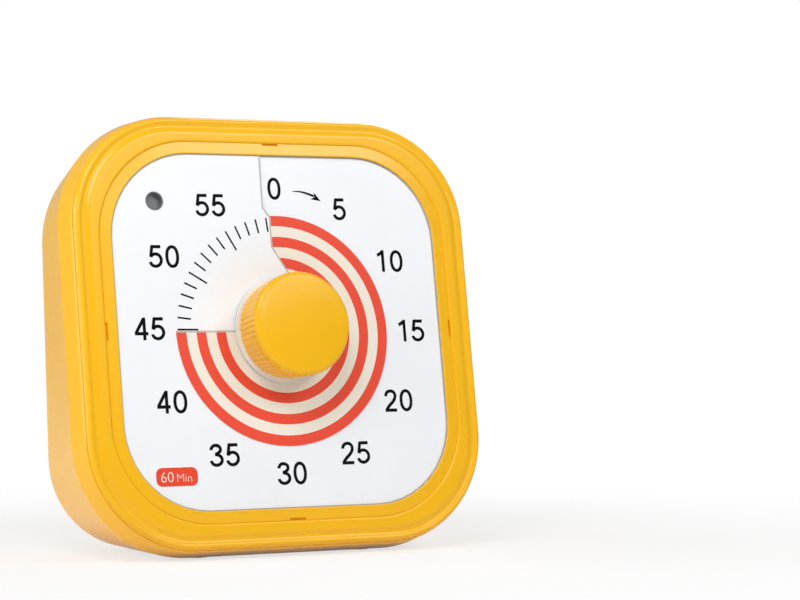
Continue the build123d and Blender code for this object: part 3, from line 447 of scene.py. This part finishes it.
def as_mesh(curve):
    """A curve or text as a mesh, with the curve's own object removed."""
    holder = add_object("holder", curve)
    graph = bpy.context.evaluated_depsgraph_get()
    mesh = bpy.data.meshes.new_from_object(holder.evaluated_get(graph))
    bpy.data.objects.remove(holder)
    return mesh


def nib(width):
    """Straight profile that a stroke of ink is drawn with."""
    line = bpy.data.curves.new("nib", "CURVE")
    spline = line.splines.new("POLY")
    spline.points.add(1)
    for point, side in zip(spline.points, (-0.5, 0.5)):
        point.co = (side * width, 0, 0, 1)
    return add_object("nib", line)


def stroke_mesh(strokes, width):
    """Flat ribbons of one width along strokes.

    A stroke is a list of (x, y, handle_x, handle_y, weight) points, where a handle is half
    of a curve's tangent at its point, and a zero handle makes a corner or a straight run.
    """
    curve = bpy.data.curves.new("strokes", "CURVE")
    curve.dimensions = "3D"
    curve.twist_mode = "Z_UP"
    curve.resolution_u = 10
    profile = nib(width)
    curve.bevel_mode = "OBJECT"
    curve.bevel_object = profile
    for closed, points in strokes:
        spline = curve.splines.new("BEZIER")
        spline.bezier_points.add(len(points) - 1)
        spline.use_cyclic_u = closed
        for knot, (x, y, handle_x, handle_y, weight) in zip(spline.bezier_points, points):
            reach = Vector((handle_x, handle_y, 0))
            knot.co = (x, y, 0)
            knot.handle_left_type = knot.handle_right_type = "FREE"
            knot.handle_left = knot.co - reach
            knot.handle_right = knot.co + reach
            knot.radius = weight
    mesh = as_mesh(curve)
    bpy.data.objects.remove(profile)
    return mesh


def straight(*points):
    """A stroke of straight runs through points."""
    return (False, [(x, y, 0, 0, 1) for x, y in points])


def bent(*points, closed=False):
    """A stroke of curves through (x, y, handle_x, handle_y) points."""
    return (closed, [(*point, 1) for point in points])


# Digits of a plain grotesque, as strokes in a cell 1 high and 0.65 wide.
DIGITS = {
    "0": [
        bent(
            (0.325, 0.937, 0.15, 0),
            (0.58, 0.5, 0, -0.27),
            (0.325, 0.063, -0.15, 0),
            (0.07, 0.5, 0, 0.27),
            closed=True,
        )
    ],
    "1": [
        straight((0.42, 0), (0.42, 1)),
        bent((0.42, 0.96, -0.04, -0.08), (0.14, 0.77, -0.09, -0.03)),
    ],
    "2": [
        bent(
            (0.085, 0.70, 0.01, 0.15),
            (0.335, 0.937, 0.14, 0),
            (0.56, 0.72, 0, -0.12),
            (0.36, 0.38, -0.12, -0.10),
            (0.085, 0.065, -0.05, -0.10),
        ),
        straight((0.02, 0.06), (0.61, 0.06)),
    ],
    "3": [
        bent(
            (0.08, 0.735, 0.02, 0.12),
            (0.315, 0.937, 0.125, 0),
            (0.535, 0.745, 0, -0.11),
            (0.255, 0.535, -0.06, 0),
        ),
        bent(
            (0.255, 0.535, 0.19, 0),
            (0.585, 0.295, 0, -0.135),
            (0.315, 0.063, -0.135, 0),
            (0.062, 0.27, -0.015, 0.12),
        ),
    ],
    "4": [
        straight((0.465, 0), (0.465, 1)),
        straight((0.455, 0.955), (0.075, 0.33)),
        straight((0.01, 0.29), (0.64, 0.29)),
    ],
    "5": [
        straight((0.135, 0.937), (0.575, 0.937)),
        straight((0.175, 0.985), (0.09, 0.475)),
        bent(
            (0.09, 0.475, 0.05, 0.08),
            (0.325, 0.61, 0.145, 0),
            (0.58, 0.335, 0, -0.145),
            (0.31, 0.063, -0.135, 0),
            (0.062, 0.26, -0.015, 0.12),
        ),
    ],
}


def placed_strokes(strokes, corner, scale):
    """Strokes of the digit cell moved to a corner and brought to size."""
    return [
        (
            closed,
            [
                (corner[0] + scale * x, corner[1] + scale * y, scale * hx, scale * hy, weight)
                for x, y, hx, hy, weight in points
            ],
        )
        for closed, points in strokes
    ]


def clock_point(radius, minute):
    """Point of the dial at a minute, clockwise from the top."""
    turn = math.radians(6 * minute)
    return radius * math.sin(turn), radius * math.cos(turn)


def print_numbers(black):
    """The numbers 0 to 55, upright, round the dial."""
    strokes = []
    for minute in range(0, 60, 5):
        digits = str(minute)
        x, y = clock_point(number_radius, minute + print_turn)
        left = number_centre[0] + x - (digit_pitch * (len(digits) - 1) + digit_width) / 2
        foot = number_centre[1] + y - digit_height / 2
        for place, digit in enumerate(digits):
            corner = (left + place * digit_pitch, foot)
            strokes += placed_strokes(DIGITS[digit], corner, digit_height)
    ink_piece("dial_numbers", stroke_mesh(strokes, digit_stroke), black)


def print_ticks(black):
    """Minute ticks of the uncovered quarter, longer at every fifth minute."""
    strokes = []
    for minute in range(first_tick, 60):
        inner = short_tick_inner if minute % 5 else long_tick_inner
        spot = minute + print_turn
        strokes.append(straight(clock_point(inner, spot), clock_point(tick_outer, spot)))
    ink_piece("dial_ticks", stroke_mesh(strokes, tick_stroke), black)


def print_arrow(black):
    """Curved arrow from 0 towards 5, swelling into a barbed head."""
    points = []
    for number, (x, y, weight) in enumerate(arrow_bend):
        before = Vector(arrow_bend[max(number - 1, 0)][:2])
        after = Vector(arrow_bend[min(number + 1, len(arrow_bend) - 1)][:2])
        reach = (after - before) * MM / 6
        points.append((x * MM, y * MM, reach.x, reach.y, weight))
    shaft = stroke_mesh([(False, points)], arrow_stroke)
    ink_piece("arrow_shaft", shaft, black)

    head = bmesh.new()
    corners = [
        head.verts.new((x * arrow_head_length, y * arrow_head_width, 0))
        for x, y in arrow_head_outline
    ]
    head.faces.new(corners)
    bmesh.ops.triangulate(head, faces=head.faces[:])
    turned = Matrix.Translation((*arrow_tip, 0)) @ Matrix.Rotation(arrow_head_angle, 4, "Z")
    bmesh.ops.transform(head, matrix=turned, verts=head.verts)
    ink_piece("arrow_head", mesh_from("arrow_head", head), black)


def print_tag():
    """Red tag with the timer's length in pale letters."""
    plate = bmesh.new()
    bmesh.ops.create_grid(plate, x_segments=1, y_segments=1, size=0.5)
    bmesh.ops.scale(plate, vec=(*tag_size, 1), verts=plate.verts)
    bmesh.ops.bevel(
        plate,
        geom=plate.verts[:],
        offset=tag_round,
        affect="VERTICES",
        segments=8,
        profile=0.5,
        material=-1,
    )
    bmesh.ops.translate(plate, vec=(*tag_centre, 0), verts=plate.verts)
    ink_piece("length_tag", mesh_from("length_tag", plate), ink("tag_red", RING_RED))

    pale = ink("tag_pale", TAG_TEXT)
    for text, size, shift in tag_words:
        letters = bpy.data.curves.new("letters", "FONT")
        letters.body = text
        letters.size = size
        letters.align_x = "CENTER"
        letters.resolution_u = 6
        letters.offset = -tag_thinning
        mesh = as_mesh(letters)
        place = (tag_centre[0] + shift, tag_centre[1] - tag_base, 0)
        mesh.transform(Matrix.Translation(place))
        ink_piece("tag_text_" + text.lower(), mesh, pale, lift=2 * ink_lift)


def print_edge_line(grey):
    """Painted shade of the gap under the ring: a fine grey line along the film's edge, from one side of the slit
    round.
    """
    half, centre = edge_line_half, edge_line_centre
    bow = circle_handle * (half - centre)
    slit = slit_shade_line[0][0] * MM
    points = [(slit, half, 0, 0, 1)]
    for turn in range(4):
        rotate = Matrix.Rotation(math.radians(-90 * turn), 2)
        start, end = rotate @ Vector((centre, half)), rotate @ Vector((half, centre))
        points.append((*start, *(rotate @ Vector((bow, 0))), 1))
        points.append((*end, *(rotate @ Vector((0, -bow))), 1))
    points.append((slit - slit_line_set, half, 0, 0, 1))
    ink_piece("dial_edge_shade", stroke_mesh([(False, points)], edge_line_stroke), grey)


def print_slit_line(grey):
    """Painted shade of the slit's raised cut edge: a fine grey line on the upper side of the slit."""
    points = [(x * MM - slit_line_set, y * MM) for x, y in slit_shade_line]
    ink_piece("slit_shade_line", stroke_mesh([straight(*points)], slit_line_stroke), grey)


def print_disc_edge(grey):
    """The same painted shade line along the disc's leading edge."""
    drop = -slit_line_set
    stroke = straight((-disc_line_start, drop), (-disc_line_end, drop))
    mesh = stroke_mesh([stroke], slit_line_stroke)
    ink_piece("disc_edge_shade", mesh, grey, body="disc", sheet="ring_disc")


black_ink = ink("dial_ink", INK)
print_numbers(black_ink)
print_ticks(black_ink)
print_arrow(black_ink)
print_tag()
# painted shade lines: the gap round the dial film, the slit's raised cut edge and the disc's leading edge
painted_slit_shade = ink("painted_slit_shade", SLIT_SHADE_GREY)
print_edge_line(ink("painted_gap_shade", GAP_SHADE_GREY))
print_slit_line(painted_slit_shade)
print_disc_edge(painted_slit_shade)


# ---------------------------------------------------------------- knob
def is_long_and_outer(edge):
    """Whether an edge of the knob's section is the whole side or the whole face."""
    middle = (edge.verts[0].co + edge.verts[1].co) / 2
    outer = middle.x > knob_bore + inner_margin or middle.z > knob_roof + inner_margin
    return outer and edge.calc_length() > long_edge


def turned_knob():
    """Hollow knob spun from its section, with the crown's corner rounded."""
    knob = bmesh.new()
    section = [
        (0, knob_edge),
        (knob_radius, knob_edge),
        (knob_foot_radius, knob_foot),
        (knob_bore, knob_foot),
        (knob_bore, knob_roof),
        (knob_post_radius, knob_roof),
        (knob_post_radius, knob_foot),
        (shaft_radius, knob_foot),
        (shaft_radius, flat_foot - flat_step),
        (shaft_radius, flat_foot),
        (shaft_radius, shaft_end),
        (0, shaft_end),
    ]
    corners = [knob.verts.new((radius, 0, height)) for radius, height in section]
    for pair in zip(corners, corners[1:]):
        knob.edges.new(pair)
    bmesh.ops.bevel(
        knob,
        geom=[corners[1]],
        offset=knob_crown_round,
        affect="VERTICES",
        segments=crown_segments,
        profile=0.5,
        material=-1,
    )
    outer = [edge for edge in knob.edges if is_long_and_outer(edge)]
    bmesh.ops.subdivide_edges(knob, edges=outer, cuts=outer_cuts)
    bmesh.ops.spin(
        knob,
        geom=knob.verts[:] + knob.edges[:],
        axis=(0, 0, 1),
        cent=(0, 0, 0),
        angle=math.tau,
        steps=knob_ribs * rib_steps,
        use_merge=True,
    )
    bmesh.ops.remove_doubles(knob, verts=knob.verts, dist=merge_distance)
    bmesh.ops.recalc_face_normals(knob, faces=knob.faces)
    return knob


def add_webs(knob):
    """Four webs in the knob's cavity, from the post to the side."""
    inner, outer = knob_post_radius - web_sink, knob_bore + web_sink
    low, high = knob_foot, knob_roof + web_sink
    for quarter in range(4):
        web = bmesh.ops.create_cube(knob, size=1)["verts"]
        bmesh.ops.scale(knob, vec=(outer - inner, web_thickness, high - low), verts=web)
        bmesh.ops.translate(knob, vec=((inner + outer) / 2, 0, (low + high) / 2), verts=web)
        turn = Matrix.Rotation(quarter * math.pi / 2, 3, "Z")
        bmesh.ops.rotate(knob, cent=(0, 0, 0), matrix=turn, verts=web)


def press_knob(knob):
    """Press the ribs and the D of the hole in, and raise the face to a dome."""
    for vertex in knob.verts:
        radius = vertex.co.xy.length
        if radius > knob_bore + inner_margin:
            turn = math.atan2(vertex.co.y, vertex.co.x)
            fade = min(max(1 - (vertex.co.z - rib_end) / rib_fade, 0), 1)
            groove = rib_depth * fade * (1 - abs(math.cos(knob_ribs * turn / 2)))
            vertex.co.xy *= 1 - groove / radius
        if vertex.co.z > knob_roof + roof_margin:
            vertex.co.z += knob_dome * (1 - (radius / knob_radius) ** 2)
        in_hole = radius < knob_post_radius - inner_margin and vertex.co.z < knob_roof
        if in_hole and vertex.co.z > flat_foot - flat_step / 2:
            vertex.co.x = min(vertex.co.x, shaft_flat)


def add_moulding(name, shape, material):
    """A closed shape on the dial's own axes as a smooth-shaded piece in its place."""
    bmesh.ops.transform(shape, matrix=dial_place, verts=shape.verts)
    mesh = mesh_from(name, shape)
    mesh.shade_smooth()
    mesh.set_sharp_from_angle(angle=sharp_angle)
    mesh.materials.append(material)
    return add_object(name, mesh)


def make_knob():
    """Ribbed knob with a domed face, in place of the source's plainer one."""
    knob = turned_knob()
    press_knob(knob)
    add_webs(knob)
    yellow = moulded("knob_yellow", YELLOW, 0.22, drift=0.012, **knob_sheen)
    piece = add_moulding("ribbed_knob", knob, yellow)
    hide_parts("knob")
    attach(piece, "knob")


def make_lamp_cup():
    """Grey wall of the lamp's recess, in one colour with its lens."""
    cup = bmesh.new()
    bmesh.ops.create_circle(cup, segments=64, radius=cup_bore)
    rim = bmesh.ops.extrude_edge_only(cup, edges=cup.edges[:])["geom"]
    outer = [part for part in rim if isinstance(part, bmesh.types.BMVert)]
    bmesh.ops.scale(cup, vec=(cup_radius / cup_bore, cup_radius / cup_bore, 1), verts=outer)
    wall = bmesh.ops.extrude_face_region(cup, geom=cup.faces[:])["geom"]
    lower = [part for part in wall if isinstance(part, bmesh.types.BMVert)]
    bmesh.ops.translate(cup, vec=(0, 0, -cup_depth), verts=lower)
    bmesh.ops.recalc_face_normals(cup, faces=cup.faces)
    bmesh.ops.translate(cup, vec=(*lamp_centre, 0), verts=cup.verts)
    piece = add_moulding("lamp_cup", cup, finishes["lamp_grey"])
    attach(piece, "case")


make_knob()
make_lamp_cup()


# ---------------------------------------------------------------- studio
def background_share(tree):
    """Share of the white background in a ray: whole to the eye and in glass, part in a gloss."""
    path = add_node(tree, "LightPath").outputs
    inputs = {0: path["Is Glossy Ray"], 1: gloss_share, 2: path["Is Camera Ray"]}
    opaque = add_node(tree, "Math", inputs, operation="MULTIPLY_ADD").outputs["Value"]
    inputs = {0: opaque, 1: path["Is Transmission Ray"]}
    return add_node(tree, "Math", inputs, operation="MAXIMUM").outputs["Value"]


def make_stage():
    """Pale floor that fades to white for the eye and keeps the timer's shadow."""
    material, tree, place = new_material("studio_floor")
    pale = two_tone(tree, noise(tree, place, floor_grain), FLOOR_WHITE, FLOOR_FLECK)
    matt = add_node(tree, "BsdfDiffuse", {"Color": pale}).outputs["BSDF"]
    white = add_node(tree, "Emission", {"Color": plain_white}).outputs["Emission"]
    eye = background_share(tree)
    reach = add_node(tree, "VectorMath", {0: place}, operation="LENGTH").outputs["Value"]
    inputs = {
        "Value": reach,
        "From Min": floor_fade[0],
        "From Max": floor_fade[1],
        "To Min": floor_white[0],
        "To Max": floor_white[1],
    }
    fade = add_node(tree, "MapRange", inputs, interpolation_type="SMOOTHSTEP").outputs["Result"]
    share = add_node(tree, "Math", {0: eye, 1: fade}, operation="MULTIPLY").outputs["Value"]
    mixed = add_node(tree, "MixShader", {0: share, 1: matt, 2: white}).outputs["Shader"]
    add_node(tree, "OutputMaterial", {"Surface": mixed})

    floor = bmesh.new()
    bmesh.ops.create_grid(floor, x_segments=1, y_segments=1, size=floor_half)
    mesh = mesh_from("floor", floor)
    mesh.materials.append(material)
    holder = add_object("floor", mesh)


def make_world():
    """White for the eye, and a soft even light for everything else."""
    world = bpy.data.worlds.new("studio_world")
    bpy.context.scene.world = world
    world.use_nodes = True
    tree = world.node_tree
    tree.nodes.clear()
    soft = add_node(tree, "Background", {"Color": soft_light, "Strength": soft_strength})
    white = add_node(tree, "Background", {"Color": plain_white, "Strength": 1.0})
    eye = background_share(tree)
    shaders = {0: eye, 1: soft.outputs["Background"], 2: white.outputs["Background"]}
    mixed = add_node(tree, "MixShader", shaders).outputs["Shader"]
    add_node(tree, "OutputWorld", {"Surface": mixed})


def make_lamps():
    """Area lamps round the timer, all turned to the dial's middle."""
    for name, place, size, power in softboxes:
        lamp = bpy.data.lights.new(name, "AREA")
        lamp.shape = "RECTANGLE"
        lamp.size, lamp.size_y = size
        lamp.energy = power
        holder = add_object(name, lamp)
        holder.location = place
        aim = dial_centre - Vector(place)
        holder.rotation_euler = aim.to_track_quat("-Z", "Y").to_euler()


def make_camera():
    """Camera at eye level with the dial, to its left."""
    lens = bpy.data.cameras.new("camera")
    lens.sensor_width = sensor_width
    lens.lens = focal_length
    lens.clip_start = nearest_view
    holder = add_object("camera", lens)
    roll = Matrix.Rotation(camera_roll, 4, "Z")
    facing = camera_view.to_track_quat("-Z", "Y").to_matrix().to_4x4() @ roll
    holder.location = dial_centre + camera_place
    holder.rotation_euler = facing.to_euler()
    bpy.context.scene.camera = holder


make_stage()
make_world()
make_lamps()
make_camera()
bpy.context.scene.view_settings.view_transform = "Standard"
